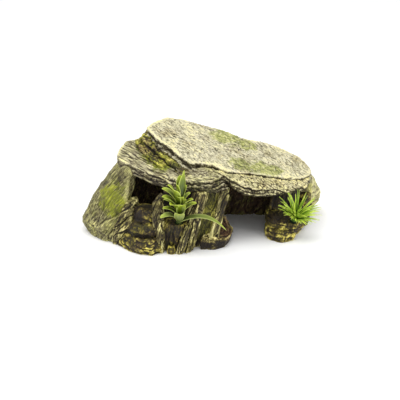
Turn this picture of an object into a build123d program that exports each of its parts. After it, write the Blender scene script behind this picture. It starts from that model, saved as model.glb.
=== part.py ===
"""Resin cave ornament: cast stones bonded into an open-bottomed cave, with two push-in plastic plants.

Millimetres. X runs along the ornament's length, Y from its front to its back and Z up. The origin is on the
table under the middle of the ornament. Each stone is its own solid; a stone that is bedded against others is
cut back to their surfaces, so bonded neighbours meet face to face and never overlap.
"""

from build123d import *

import os

# Roof: the bedding planes of the two roof slabs fall to the right and towards the front.
ROOF_HEIGHT = 67.1
ROOF_SLOPE_X = -0.286
ROOF_SLOPE_Y = 0.164
ROOF_THICKNESS = 7.5
LOWER_SLAB_THICKNESS = 8.0
PACKING_THICKNESS = 5.5

# Ledge: the plank-like slab on the left falls towards the front.
LEDGE_HEIGHT = 64.4
LEDGE_SLOPE_X = 0.031
LEDGE_SLOPE_Y = 0.29
LEDGE_THICKNESS = 7.5

EDGE_WEAR = 1.2
BED_GAP = 0.05
TALL = 120.0

# Plants: each has a peg that drops into a drilled socket with a spot-faced mouth. A plant's own frame has
# its origin on the spot face and its Z axis up the stem.
PEG_RADIUS = 2.40
SOCKET_CLEARANCE = 0.05
PEG_LENGTH = 8.0
SOCKET_SPARE_DEPTH = 1.0
COLLAR_RADIUS = 3.2
COLLAR_HEIGHT = 2.0
SPOT_FACE_RADIUS = 3.6
SPOT_FACE_RISE = 8.0
BROADLEAF_SEAT = (-19.2, -43.0, 23.2)
BROADLEAF_STEM = (0.06, -0.12, 1.0)
GRASS_SEAT = (70.5, -16.0, 14.2)
GRASS_STEM = (0.25, -0.55, 1.0)


def roof_level(x, y, below=0.0):
    """Height of the roof's top bedding plane over a point, less a depth."""
    return ROOF_HEIGHT + ROOF_SLOPE_X * x + ROOF_SLOPE_Y * y - below


def bedding_plane(height, slope_x, slope_y):
    return Plane(origin=(0, 0, height), z_dir=(-slope_x, -slope_y, 1))


def outline(corners, plane=Plane.XY):
    """A flat face with straight sides through the corners."""
    with BuildSketch(plane) as flat:
        with BuildLine():
            Polyline(*corners, close=True)
        make_face()
    return flat.sketch.face()


def stack(*levels):
    """Lofts a stone through level outlines, each given as (height, corners)."""
    faces = [outline(corners, Plane.XY.offset(height)) for height, corners in levels]
    loft(sections=faces, ruled=True)


def bed(corners, top, thickness):
    """A stone split along its bedding: an outline carried up to a tilted plane, down to a second one."""
    extrude(outline(corners), amount=TALL)
    split(bisect_by=top, keep=Keep.BOTTOM)
    split(bisect_by=top.offset(-thickness), keep=Keep.TOP)


def bed_against(*neighbours):
    """Cuts the stone being built back to the surfaces of the stones that it is bonded to."""
    for neighbour in neighbours:
        add(neighbour.part, mode=Mode.SUBTRACT)
    crumbs = solids().sort_by(SortBy.VOLUME)[:-1]
    for crumb in crumbs:
        add(crumb, mode=Mode.SUBTRACT)


def disc(plane, radius):
    with BuildSketch(plane) as flat:
        Circle(radius)
    return flat.sketch.face()


def drill_socket(frame):
    """Spot-faces the stone being built around a plant's seat and drills the socket for its peg."""
    extrude(disc(frame, SPOT_FACE_RADIUS), amount=SPOT_FACE_RISE, mode=Mode.SUBTRACT)
    bore = disc(frame, PEG_RADIUS + SOCKET_CLEARANCE)
    extrude(bore, amount=-(PEG_LENGTH + SOCKET_SPARE_DEPTH), mode=Mode.SUBTRACT)


os.makedirs("parts", exist_ok=True)
roof_plane = bedding_plane(ROOF_HEIGHT, ROOF_SLOPE_X, ROOF_SLOPE_Y)
ledge_plane = bedding_plane(LEDGE_HEIGHT, LEDGE_SLOPE_X, LEDGE_SLOPE_Y)

# ---------------------------------------------------------------- roof

# A broken edge on the left and in front, and a worn, rounded one on the right.
with BuildPart() as roof_slab_upper:
    with BuildSketch():
        with BuildLine():
            Polyline(
                (-18, 44), (-29, 40.5), (-41.5, 24.5), (-45.5, 15.5), (-36, 1), (-25, -8), (-16, -18.5),
                (-12.2, -22.3), (-9, -22.6), (-3, -18), (7, -16), (12, -19), (21, -20),
            )
            Spline(
                (21, -20), (31, -15.5), (52, -9.5), (72, -2), (85, 11), (83, 27), (66, 39.5), (52, 43),
            )
            Polyline((52, 43), (36, 39.5), (16, 44), (-18, 44))
        make_face()
    extrude(amount=TALL)
    split(bisect_by=roof_plane, keep=Keep.BOTTOM)
    split(bisect_by=roof_plane.offset(-ROOF_THICKNESS), keep=Keep.TOP)
    chamfer(faces().sort_by(Axis.Z)[-1].edges(), EDGE_WEAR)

# The lower roof slab laps up in front of the upper one and droops to a lip over the cave's mouth. Each rib
# is (x, crease y, brow y, brow z, lip y, lip z, underside y, underside z).
LIP_RIBS = [
    (12, -19, -22.5, 58.5, -24, 55, -20, 52),
    (21, -20, -28, 56, -30, 51, -24, 47),
    (31, -15.5, -30.5, 50.8, -33, 45, -27, 42.5),
    (40, -11.5, -29, 47.7, -31, 42, -24, 39.5),
    (52, -9.5, -25, 45.7, -27, 41, -20, 38.2),
    (62, -7, -21, 44, -23, 40.5, -16, 37.5),
    (72, -2, -14, 42.6, -16, 39.2, -9, 36.2),
    (80, 5, -5, 42, -7, 38.8, 0, 35.4),
    (84, 12, 5, 41.6, 3.5, 38.4, 9, 35),
]
LIP_REACH = 0.4
LAP_SET_BACK = 0.5
LAP_DEPTH = 2.2
LOWER_SLAB_REAR = 36.0
REAR_TAPER = 0.6
REAR_TAPER_START = 60.0

with BuildPart() as roof_slab_lower:
    ribs = []
    for x, crease_y, brow_y, brow_z, lip_y, lip_z, under_y, under_z in LIP_RIBS:
        bed_top = ROOF_THICKNESS + BED_GAP
        crease = crease_y - LIP_REACH
        rear_y = LOWER_SLAB_REAR - REAR_TAPER * max(0, x - REAR_TAPER_START)
        rib = [
            (rear_y, roof_level(x, rear_y, bed_top)),
            (crease, roof_level(x, crease, bed_top)),
            (crease - LAP_SET_BACK, roof_level(x, crease, LAP_DEPTH)),
            (brow_y, brow_z),
            (lip_y, lip_z),
            (under_y, under_z),
            (rear_y, roof_level(x, rear_y, bed_top + LOWER_SLAB_THICKNESS)),
        ]
        ribs.append(outline(rib, Plane.YZ.offset(x)))
    loft(sections=ribs, ruled=True)
    bed_against(roof_slab_upper)

with BuildPart() as ledge_slab:
    bed(
        [
            (-66, -3), (-58, -9), (-51, -14.5), (-42, -21.5), (-31, -27.5), (-19, -29.5), (-15, -22),
            (-20, -8), (-28, 4), (-34, 16), (-42, 25), (-52, 25), (-62, 20.5), (-66.5, 12), (-68.5, 4),
        ],
        ledge_plane,
        LEDGE_THICKNESS,
    )
    chamfer(faces().sort_by(Axis.Z)[-1].edges(), EDGE_WEAR)

# Two packing stones step down from the roof to the ledge.
with BuildPart() as packing_stone_upper:
    bed(
        [
            (-49, 14), (-45, 4), (-38, -4.5), (-29, -12), (-23, -18.5), (-17, -24.5), (-9, -23), (0, -16),
            (2, -4), (-6, 12), (-18, 30), (-32, 39), (-44, 27),
        ],
        roof_plane.offset(-ROOF_THICKNESS),
        PACKING_THICKNESS,
    )
    bed_against(roof_slab_upper, roof_slab_lower, ledge_slab)

with BuildPart() as packing_stone_lower:
    bed(
        [
            (-54, 15), (-50, 4), (-44, -6), (-35, -14), (-27, -20.5), (-18, -27.5), (-10, -24), (-8, -8),
            (-12, 8), (-22, 26), (-34, 36), (-48, 27),
        ],
        roof_plane.offset(-ROOF_THICKNESS - PACKING_THICKNESS),
        PACKING_THICKNESS,
    )
    bed_against(packing_stone_upper, ledge_slab)

# ---------------------------------------------------------------- left side

with BuildPart() as left_boulder:
    stack(
        (0, [
            (-94, -3), (-86, -13), (-78, -21), (-70, -25.5), (-65, -18),
            (-68, -4), (-71, 14), (-78, 24), (-91, 15),
        ]),
        (12, [
            (-97, -3), (-89, -15), (-80, -23), (-70, -26.5), (-63, -19),
            (-66, -4), (-69, 14), (-76, 26), (-94, 16),
        ]),
        (34, [
            (-86, 0), (-78, -14), (-68, -21), (-60.5, -22), (-57, -15),
            (-58, -4), (-62, 14), (-68, 24), (-83, 16),
        ]),
        (52, [
            (-72, 3), (-67, -6), (-62, -12), (-58, -13.5), (-53.5, -9),
            (-52, 0), (-54, 14), (-59, 22), (-69, 16),
        ]),
        (60, [
            (-66, 5), (-63, -2), (-60, -6), (-57, -7.5), (-53, -4),
            (-51, 2), (-52, 12), (-56, 19), (-63, 13),
        ]),
    )
    bed_against(ledge_slab)

with BuildPart() as left_buttress:
    stack(
        (0, [(-72, -27.5), (-64, -30), (-56, -34), (-52, -20), (-60, -8), (-67, -12)]),
        (14, [(-71, -29), (-64, -31.5), (-57, -33), (-51, -20), (-57, -8), (-64, -14)]),
        (26, [(-66, -27), (-61, -29.5), (-56, -29), (-50.5, -18), (-54, -8), (-61, -16)]),
        (33, [(-60.5, -23.5), (-58, -26.5), (-54.5, -25.5), (-51, -16), (-53, -9), (-58, -14)]),
    )
    bed_against(left_boulder)

with BuildPart() as step_stone_lower:
    stack(
        (0, [
            (-66.5, -30), (-57, -42), (-49, -47.5), (-40, -49.5),
            (-34, -45), (-31.1, -41), (-31.1, -24), (-56, -20),
        ]),
        (5, [
            (-65.5, -31), (-57.5, -43), (-49, -49), (-40, -50.5),
            (-33.5, -46), (-31.1, -41), (-31.1, -24), (-56, -20),
        ]),
        (11, [
            (-62.5, -31), (-56, -40), (-48, -46), (-40, -47),
            (-35, -43), (-31.1, -40), (-31.1, -24), (-55, -20),
        ]),
    )
    bed_against(left_buttress, left_boulder)

with BuildPart() as step_stone_middle:
    stack(
        (11, [(-61, -30), (-55, -38.5), (-47, -42.5), (-40, -43.5), (-35, -40), (-35, -24), (-55, -19)]),
        (16, [
            (-61.5, -31), (-56, -39.5), (-48, -43.5), (-40, -44.5),
            (-35.5, -41), (-35, -24), (-54, -19),
        ]),
        (20.5, [(-58, -28), (-53, -36), (-46, -39), (-40, -40), (-36.5, -37), (-36, -22), (-53, -18)]),
    )
    bed_against(left_buttress)

with BuildPart() as step_stone_upper:
    stack(
        (20.5, [(-57, -27), (-53, -33.5), (-46, -36.5), (-40, -37), (-37, -35), (-37, -20), (-53, -16)]),
        (26, [(-56, -26), (-52, -33), (-46, -36), (-40, -37), (-37, -34), (-37, -18), (-53, -15)]),
        (29.5, [(-54, -24), (-51, -28), (-46, -30), (-41, -31), (-38, -29), (-38, -18), (-52, -15)]),
    )
    bed_against(left_buttress)

# ---------------------------------------------------------------- middle: upright bark-like stones

with BuildPart() as edge_column:
    stack(
        (0, [(3, -37), (9, -36.5), (10, -26), (3.5, -26)]),
        (24, [(8.2, -37.5), (14, -34), (14, -24), (8, -25)]),
        (46.5, [(13.5, -33.5), (20, -29), (19.5, -20.5), (12.5, -22)]),
    )

with BuildPart() as wide_column:
    stack(
        (0, [(-9.5, -34.5), (-3, -32.5), (3.5, -33), (4, -25), (-9, -25)]),
        (24, [(-4, -34.5), (2, -33.5), (8.5, -32.5), (8.5, -24), (-3, -25)]),
        (46.5, [(2, -30.5), (7.5, -29.5), (13.5, -29), (13, -21), (2, -22)]),
    )
    bed_against(edge_column)

with BuildPart() as ridge_column:
    stack(
        (0, [(-19.5, -42), (-13.5, -45), (-9, -41.5), (-8, -28), (-18, -28)]),
        (24, [(-13, -40.5), (-7.5, -44), (-3.2, -40), (-3, -27), (-13, -26)]),
        (46.5, [(-9, -35), (-2.5, -38.5), (3, -34.5), (3, -23), (-9, -22)]),
    )
    bed_against(wide_column)

with BuildPart() as backing_stone:
    stack(
        (0, [(-31, -30), (-6, -29), (-6, -19), (-31, -20)]),
        (24, [(-31, -33), (-6, -33), (-6, -19), (-31, -20)]),
        (46.5, [(-31, -33), (-6, -33.5), (-6, -20), (-31, -20)]),
    )
    bed_against(ridge_column, wide_column, ledge_slab)

broadleaf_frame = Plane(origin=BROADLEAF_SEAT, x_dir=(1, 0, -BROADLEAF_STEM[0]), z_dir=BROADLEAF_STEM)
grass_frame = Plane(origin=GRASS_SEAT, x_dir=(1, 0, -GRASS_STEM[0]), z_dir=GRASS_STEM)

with BuildPart() as socket_stone:
    stack(
        (0, [(-31, -40.5), (-25, -41.5), (-18, -41.5), (-15, -40), (-15, -30), (-31, -30)]),
        (13, [(-30.5, -42.5), (-25, -46.2), (-17, -46.2), (-13, -42), (-14, -30), (-31, -30)]),
        (24.5, [(-29, -44.5), (-24, -48.3), (-17, -47.8), (-13.5, -43), (-14, -32), (-29, -32)]),
    )
    bed_against(ridge_column, backing_stone)
    drill_socket(broadleaf_frame)

with BuildPart() as rib_stone:
    stack(
        (0, [(-21.5, -46), (-19, -48), (-16.5, -46), (-18, -41)]),
        (12, [(-18.5, -47.5), (-15.5, -50), (-12.5, -46.5), (-15, -41)]),
        (23, [(-14, -45), (-11.5, -46.8), (-9.5, -44.5), (-11.5, -40)]),
    )
    bed_against(socket_stone, ridge_column)

with BuildPart() as blade_stone:
    stack(
        (0, [(-34, -44), (-32, -45), (-31, -43), (-33, -39)]),
        (11, [(-36.5, -45), (-32.5, -47.5), (-31, -45), (-35, -38)]),
        (26, [(-39.5, -41), (-34, -44), (-30.5, -41.5), (-35, -33)]),
        (37, [(-40.5, -38), (-35, -40.5), (-31, -38.5), (-35, -32)]),
        (45, [(-35, -36.5), (-33, -37.5), (-31.5, -36.5), (-33, -33)]),
    )
    bed_against(step_stone_lower, step_stone_middle, step_stone_upper)
    bed_against(socket_stone, backing_stone, ledge_slab)

with BuildPart() as toe_pebble:
    stack(
        (0, [(-28, -46), (-25, -47.5), (-22.5, -46.5), (-22, -40), (-28, -40)]),
        (3, [(-28.5, -46.5), (-25, -48.5), (-22, -47), (-21.5, -40), (-28.5, -40)]),
        (6, [(-27, -45.5), (-25, -46.8), (-23, -46), (-23, -40), (-27, -40)]),
    )
    bed_against(socket_stone)

# The dish stone has a low worn rim in front and climbs towards the cave behind it.
with BuildPart() as foot_dish_stone:
    stack(
        (0, [(-2, -37.5), (8, -38), (15, -33), (19, -25), (19, -16), (13, -10), (5, -14)]),
        (7, [(-3, -38), (8, -39.5), (17, -34.5), (21.5, -25), (22.5, -15), (14, -8), (4, -14)]),
        (9, [(-1, -36), (8, -37.5), (15.5, -33), (20, -25), (21, -15), (14, -8.5), (5, -14)]),
        (16, [(6, -19), (10, -20), (14.5, -18), (17.5, -14), (17, -10.5), (13, -9), (7, -12)]),
    )
    bed_against(edge_column, wide_column, ridge_column, rib_stone)

with BuildPart() as lintel_lower:
    stack(
        (46.5, [
            (-18, -34.5), (-6, -35.5), (8, -34), (16, -30), (19.5, -27),
            (19, -20), (8, -17), (-29, -17), (-28, -26),
        ]),
        (51, [
            (-18.5, -36), (-6, -37), (6, -35.5), (12, -31), (17, -25),
            (18, -18), (8, -15), (-29, -15), (-28, -28),
        ]),
        (56, [
            (-18, -34.5), (-6, -35.5), (5, -34), (10, -29), (14, -23),
            (14, -17), (8, -14), (-29, -14), (-28, -27),
        ]),
    )
    bed_against(ledge_slab, roof_slab_upper, roof_slab_lower, packing_stone_upper, packing_stone_lower)

with BuildPart() as lintel_upper:
    extrude(
        outline(
            [(-20, -30), (-8, -31), (3, -30), (9, -26), (12, -20), (8, -12), (-22, -12)],
            Plane.XY.offset(56),
        ),
        amount=TALL,
    )
    split(bisect_by=bedding_plane(64.5, -0.12, 0.27), keep=Keep.BOTTOM)
    bed_against(ledge_slab, roof_slab_upper, roof_slab_lower, packing_stone_upper, packing_stone_lower)

# ---------------------------------------------------------------- right side

with BuildPart() as right_foot_lower:
    stack(
        (0, [
            (50, -13), (53, -20.5), (62, -25.5), (70, -20), (74, -9),
            (79, 1), (76, 8), (58, 3), (50, -4),
        ]),
        (5, [
            (48.5, -14.5), (53, -22.5), (62.5, -27), (71, -21), (76, -9.5),
            (80, 0), (77, 8), (58, 3), (49, -4),
        ]),
        (9.5, [
            (50, -14), (54, -19.5), (62, -23.5), (69, -18), (73, -8),
            (77, 0), (75, 8), (58, 4), (50, -4),
        ]),
    )
    drill_socket(grass_frame)

with BuildPart() as right_foot_upper:
    stack(
        (9.5, [
            (50, -13), (54, -18), (62, -22), (71, -20), (77, -11),
            (81, -3), (83, 5), (78, 12), (60, 10), (50, 0),
        ]),
        (14, [
            (49.5, -12), (54, -17), (62, -21), (72, -20.5), (78, -12),
            (82, -3), (84.5, 5), (79, 12), (60, 10), (50, 0),
        ]),
        (21, [
            (51, -7), (55, -9.5), (60, -8.5), (65, -4), (70, 1),
            (74, 6), (77, 10), (75, 12), (60, 12), (52, 2),
        ]),
    )
    drill_socket(grass_frame)

with BuildPart() as right_post:
    stack(
        (21, [(52.5, -6), (59, -8), (65, -4), (71, 2), (76, 10), (66, 14), (54, 8)]),
        (30, [(54, -4), (60, -7), (67, -4), (73, 2), (78, 11), (66, 15), (55, 9)]),
        (44, [(57, -3), (64, -5), (70, -2), (76, 4), (80, 12), (66, 17), (58, 10)]),
    )
    bed_against(roof_slab_lower, roof_slab_upper, right_foot_upper)

with BuildPart() as right_side_stone:
    stack(
        (0, [(76, 8.5), (80, 5), (84, 12), (86.5, 20), (84, 29), (72, 29), (64, 14)]),
        (12, [(76, 11), (83.5, 8), (86.5, 13), (88.5, 22), (85, 29), (72, 29), (62, 15)]),
        (26, [(75, 13), (81, 9), (85, 13), (87, 20), (84, 28), (72, 28), (62, 15.5)]),
    )
    bed_against(right_foot_lower, right_foot_upper, right_post)

with BuildPart() as right_boulder:
    stack(
        (0, [(74, 29), (82, 33), (89, 41), (92, 49), (84, 52), (66, 48), (66, 34)]),
        (10, [(75, 27), (86, 27), (95.5, 36), (95.5, 49), (84, 53), (64, 49), (64, 32)]),
        (22, [(74, 22), (87, 20), (96.5, 30), (94, 46), (82, 50), (62, 47), (62, 28)]),
        (33, [(74, 13), (86, 14), (91, 24), (89, 40), (80, 45), (62, 43), (62, 25)]),
        (42, [(74, 15), (82, 16), (85, 23), (83, 35), (76, 40), (64, 38), (64, 24)]),
    )
    bed_against(roof_slab_upper, roof_slab_lower, right_post, right_side_stone)

# ---------------------------------------------------------------- back wall

with BuildPart() as back_wall_right:
    stack(
        (0, [(14, 32), (44, 33), (63, 31), (66, 44), (44, 47), (22, 46)]),
        (22, [(13, 31), (44, 32), (63, 29), (66, 45), (44, 49), (22, 47)]),
        (64, [(12, 30), (44, 31), (62, 30), (64, 39), (44, 40), (21, 42)]),
    )
    split(bisect_by=roof_plane.offset(-ROOF_THICKNESS), keep=Keep.BOTTOM)
    bed_against(roof_slab_lower, right_boulder)

with BuildPart() as back_wall_centre:
    stack(
        (0, [(-26, 31), (-4, 33), (18, 32), (20, 46), (-4, 49), (-28, 47)]),
        (30, [(-27, 30), (-4, 32), (18, 31), (20, 47), (-4, 50), (-28, 48)]),
        (80, [(-26, 28), (-4, 30), (18, 30), (19, 41), (-4, 42), (-26, 41)]),
    )
    split(bisect_by=roof_plane.offset(-ROOF_THICKNESS), keep=Keep.BOTTOM)
    bed_against(roof_slab_lower, packing_stone_upper, packing_stone_lower, back_wall_right)

with BuildPart() as back_wall_left:
    stack(
        (0, [(-78, 24), (-68, 18), (-50, 28), (-28, 31), (-28, 46), (-50, 46), (-72, 38)]),
        (30, [(-76, 24), (-62, 18), (-50, 27), (-28, 30), (-28, 47), (-50, 47), (-70, 38)]),
        (64, [(-61, 17), (-56, 15), (-47, 22), (-28, 28), (-28, 39), (-42, 36), (-57, 27)]),
    )
    bed_against(left_boulder, ledge_slab, packing_stone_upper, packing_stone_lower, back_wall_centre)

# ---------------------------------------------------------------- plants

LEAF_THICKNESS = 0.9
BLADE_THICKNESS = 0.6
BLADE_WIDTH = 1.5
STEM_RADIUS = 1.1
LEAF_HUB_RADIUS = 2.3
LEAF_HUB_HEIGHT = 3.4
LEAF_HUB_PITCH = 4.5
GRASS_HUB_RADIUS = 2.0
GRASS_HUB_HEIGHT = 1.6
GRASS_HUB_PITCH = 1.8
ROOT_OVERLAP = 0.6

# Each leaf is (bearing in degrees, reach outwards, rise, arch, width). Bearing 0 points along +X and -90 at
# the front. A positive arch makes a leaf climb first and then bend outwards.
LEAF_WHORLS = [
    [(-90, 6, 12, -1, 10), (-165, 13, 5, 3, 6), (-8, 35, -3.5, 7.5, 5.5), (80, 6, 9, 1, 6)],
    [(178, 12, 9, 2, 4), (-130, 9, 13, 1.5, 6), (2, 10, 13, 2, 4), (-78, 5, 14, -0.5, 6), (60, 6, 11, 1, 5)],
    [(160, 11, 10, 2, 5), (-172, 12, 18, 2, 6), (-22, 8.5, 12, 1.5, 4), (100, 5, 13, 0.5, 6)],
    [(172, 10, 18, 2, 6.5), (18, 6, 12, 1, 3.5), (-95, 4, 9, 0.5, 6), (-132, 7, 16, -0.5, 5)],
    [(-60, 3, 27, 0.5, 7), (110, 2.5, 19, 0.5, 6), (25, 3.5, 13, 0.5, 4.5)],
]

GRASS_WHORLS = [
    [
        (-170, 15, 12, 2), (-145, 14, 9, 2), (-120, 13, 7, 2), (-95, 13, 6, 2), (-70, 14, 6, 2),
        (-45, 16, 6, 2), (-20, 19, 8, 2), (5, 22, 10, 2), (28, 20, 14, 2),
    ],
    [
        (170, 14, 16, 1.5), (-158, 12, 17, 1.5), (-125, 9, 16, 1), (-90, 8, 15, 1), (-55, 10, 16, 1),
        (-20, 14, 17, 1.5), (10, 17, 17, 1.5), (40, 14, 17, 1.5), (140, 10, 15, 1.5),
    ],
    [
        (-150, 6, 22, 0.5), (-90, 4, 20, 0.5), (-30, 7, 21, 0.5), (30, 10, 22, 0.5), (75, 7, 22, 0.5),
        (120, 8, 22, 0.5), (165, 9, 22, 0.5),
    ],
]


def leaf(root, reach, rise, arch, width, thickness):
    """A curved leaf that stands outwards along +X from its root."""
    chord = Vector(reach, 0, rise)
    outside = chord.cross(Vector(0, 1, 0)).normalized()
    start = Vector(root, 0, 0)
    crown = start + chord * 0.5 + outside * arch
    tip = start + chord
    widest = 0.45 * chord.length
    blunt = chord.length - 0.2
    with BuildPart() as blade:
        with BuildSketch(Plane.XZ):
            with BuildLine():
                Spline((start.X, start.Z), (crown.X, crown.Z), (tip.X, tip.Z))
            trace(line_width=thickness)
        extrude(amount=width, both=True)
        with BuildSketch(Plane(origin=start, x_dir=chord, z_dir=outside)):
            with BuildLine():
                left = Spline((0, 0.3 * width), (widest, 0.5 * width), (blunt, 0.1 * width))
                right = Spline((0, -0.3 * width), (widest, -0.5 * width), (blunt, -0.1 * width))
                Line(left @ 0, right @ 0)
                Line(left @ 1, right @ 1)
            make_face()
        extrude(amount=2 * abs(arch) + 2 * thickness, both=True, mode=Mode.INTERSECT)
    return blade.part


def whorl(frame, height, hub_radius, hub_height, leaves, lower_whorls):
    """A moulded ring with its leaves, threaded on the stem at a height. Each leaf is (bearing, solid)."""
    with BuildPart() as ring:
        with BuildSketch(frame.offset(height)):
            Circle(hub_radius)
            Circle(STEM_RADIUS, mode=Mode.SUBTRACT)
        extrude(amount=hub_height)
        for bearing, blade in leaves:
            middle = frame.offset(height + hub_height / 2).location
            add(middle * Location((0, 0, 0), (0, 0, bearing)) * blade)
        bed_against(*lower_whorls)
    return ring


def plug(frame, stem_length):
    """A plant's peg, collar and stem in one moulding."""
    with BuildPart() as moulding:
        with BuildSketch(frame.offset(-PEG_LENGTH)):
            Circle(PEG_RADIUS)
        extrude(amount=PEG_LENGTH)
        with BuildSketch(frame):
            Circle(COLLAR_RADIUS)
        extrude(amount=COLLAR_HEIGHT)
        with BuildSketch(frame.offset(COLLAR_HEIGHT)):
            Circle(STEM_RADIUS)
        extrude(amount=stem_length)
    return moulding


broadleaf_stem = plug(broadleaf_frame, LEAF_HUB_PITCH * len(LEAF_WHORLS))
leaf_whorls = []
for number, leaves in enumerate(LEAF_WHORLS):
    root = LEAF_HUB_RADIUS - ROOT_OVERLAP
    blades = [
        (bearing, leaf(root, reach, rise, arch, width, LEAF_THICKNESS))
        for bearing, reach, rise, arch, width in leaves
    ]
    height = COLLAR_HEIGHT + number * LEAF_HUB_PITCH
    ring = whorl(broadleaf_frame, height, LEAF_HUB_RADIUS, LEAF_HUB_HEIGHT, blades, leaf_whorls)
    leaf_whorls.append(ring)

grass_plug = plug(grass_frame, GRASS_HUB_PITCH * len(GRASS_WHORLS))
grass_whorls = []
for number, leaves in enumerate(GRASS_WHORLS):
    root = GRASS_HUB_RADIUS - ROOT_OVERLAP
    blades = [
        (bearing, leaf(root, reach, rise, arch, BLADE_WIDTH, BLADE_THICKNESS))
        for bearing, reach, rise, arch in leaves
    ]
    height = COLLAR_HEIGHT + number * GRASS_HUB_PITCH
    ring = whorl(grass_frame, height, GRASS_HUB_RADIUS, GRASS_HUB_HEIGHT, blades, grass_whorls)
    grass_whorls.append(ring)

# ---------------------------------------------------------------- export

pieces = {
    "roof_slab_upper": roof_slab_upper,
    "roof_slab_lower": roof_slab_lower,
    "ledge_slab": ledge_slab,
    "packing_stone_upper": packing_stone_upper,
    "packing_stone_lower": packing_stone_lower,
    "left_boulder": left_boulder,
    "left_buttress": left_buttress,
    "step_stone_lower": step_stone_lower,
    "step_stone_middle": step_stone_middle,
    "step_stone_upper": step_stone_upper,
    "edge_column": edge_column,
    "wide_column": wide_column,
    "ridge_column": ridge_column,
    "backing_stone": backing_stone,
    "socket_stone": socket_stone,
    "rib_stone": rib_stone,
    "blade_stone": blade_stone,
    "toe_pebble": toe_pebble,
    "foot_dish_stone": foot_dish_stone,
    "lintel_lower": lintel_lower,
    "lintel_upper": lintel_upper,
    "right_foot_lower": right_foot_lower,
    "right_foot_upper": right_foot_upper,
    "right_post": right_post,
    "right_side_stone": right_side_stone,
    "right_boulder": right_boulder,
    "back_wall_right": back_wall_right,
    "back_wall_centre": back_wall_centre,
    "back_wall_left": back_wall_left,
    "broadleaf_stem": broadleaf_stem,
    "grass_plug": grass_plug,
}
for number, ring in enumerate(leaf_whorls):
    pieces[f"leaf_whorl_{number + 1}"] = ring
for number, ring in enumerate(grass_whorls):
    pieces[f"grass_whorl_{number + 1}"] = ring

for name, piece in pieces.items():
    piece.part.label = name
    export_step(piece.part, f"parts/{name}.step")
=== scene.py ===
"""Looks of the resin cave ornament: carved and dry-brushed stones, a broadleaf plant and a grass tuft.

Metres throughout, unless a size is multiplied by MM. Every stone is a remeshed copy of its CAD node, carved
by repeatable noise in numpy. The carving leaves two masks on the mesh for the paint: "proud" for raised
edges against crevices, with painted shade on the faces that turn away from a chosen light, and "moss".
"""

import math

import bpy
import numpy as np
from mathutils import Matrix, Vector


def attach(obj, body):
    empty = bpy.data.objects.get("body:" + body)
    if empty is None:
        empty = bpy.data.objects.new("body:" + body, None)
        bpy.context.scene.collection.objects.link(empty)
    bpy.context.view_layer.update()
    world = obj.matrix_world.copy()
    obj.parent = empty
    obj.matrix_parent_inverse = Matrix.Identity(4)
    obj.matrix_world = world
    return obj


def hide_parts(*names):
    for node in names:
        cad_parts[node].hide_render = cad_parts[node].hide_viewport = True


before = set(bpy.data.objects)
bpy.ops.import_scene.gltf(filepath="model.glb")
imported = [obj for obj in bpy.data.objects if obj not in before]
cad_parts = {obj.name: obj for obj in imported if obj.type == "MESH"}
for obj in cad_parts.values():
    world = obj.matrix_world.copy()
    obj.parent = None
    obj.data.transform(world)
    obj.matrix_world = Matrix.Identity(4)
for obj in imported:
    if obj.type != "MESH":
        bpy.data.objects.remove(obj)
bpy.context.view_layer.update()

MM = 0.001
# On average a stone stands this far outside its CAD solid, so that the carving opens no gap between stones.
SWELL = 0.35 * MM
GROUND_GAP = 0.02 * MM


# ---------------------------------------------------------------- noise

TABLE = 256
dice = np.random.default_rng(11)
GRADIENTS = dice.normal(size=(TABLE, 3))
GRADIENTS /= np.linalg.norm(GRADIENTS, axis=1)[:, None]
SHUFFLE = dice.permutation(TABLE)
CELL_SPOTS = dice.random((TABLE, 3))
# Noise on a unit lattice is this much weaker than -1 to 1, and each octave is read at a place of its own.
NOISE_GAIN = 1.7
ROUGH_OFFSET = 17.3
RIDGED_OFFSET = 31.7
RIDGED_TOTAL = 1.75
LAYER_SHIFT = 40


def shuffled(cells):
    """A repeatable place in the noise tables for each whole-numbered cell."""
    x, y, z = (cells[:, axis] % TABLE for axis in range(3))
    return SHUFFLE[(SHUFFLE[(SHUFFLE[x] + y) % TABLE] + z) % TABLE]


def noise(points):
    """Smooth gradient noise, about -1 to 1."""
    cells = np.floor(points).astype(np.int64)
    local = points - cells
    fade = local**3 * (local * (local * 6 - 15) + 10)
    total = np.zeros(len(points))
    for corner in np.ndindex(2, 2, 2):
        gradient = GRADIENTS[shuffled(cells + corner)]
        weight = np.prod(np.where(corner, fade, 1 - fade), axis=1)
        total += weight * np.einsum("ij,ij->i", gradient, local - corner)
    return total * NOISE_GAIN


def rough(points, octaves=4):
    """Gradient noise with finer noise on it."""
    total = np.zeros(len(points))
    for octave in range(octaves):
        total += noise(points * 2**octave + ROUGH_OFFSET * octave) / 2**octave
    return total


def ridged(points, octaves=3):
    """Sharp crests between rounded hollows, 0 to about 1."""
    total = np.zeros(len(points))
    for octave in range(octaves):
        total += (1 - np.abs(noise(points * 2**octave + RIDGED_OFFSET * octave))) ** 2 / 2**octave
    return total / RIDGED_TOTAL


def spots(points):
    """Distances to the nearest and the second nearest of one random spot in each unit cell."""
    cells = np.floor(points).astype(np.int64)
    nearest = np.full(len(points), 9.0)
    second = np.full(len(points), 9.0)
    for step in np.ndindex(3, 3, 3):
        cell = cells + np.array(step) - 1
        away = np.linalg.norm(points - cell - CELL_SPOTS[shuffled(cell)], axis=1)
        second = np.minimum(second, np.maximum(nearest, away))
        nearest = np.minimum(nearest, away)
    return nearest, second


def seams(points, width=0.25):
    """1 along the borders between random cells, 0 inside them."""
    nearest, second = spots(points)
    return np.clip(1 - (second - nearest) / width, 0, 1)


def cracks(points, width=0.12):
    """1 along thin wandering lines, 0 elsewhere."""
    return np.clip(1 - np.abs(noise(points)) / width, 0, 1)


# ---------------------------------------------------------------- carving


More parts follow.
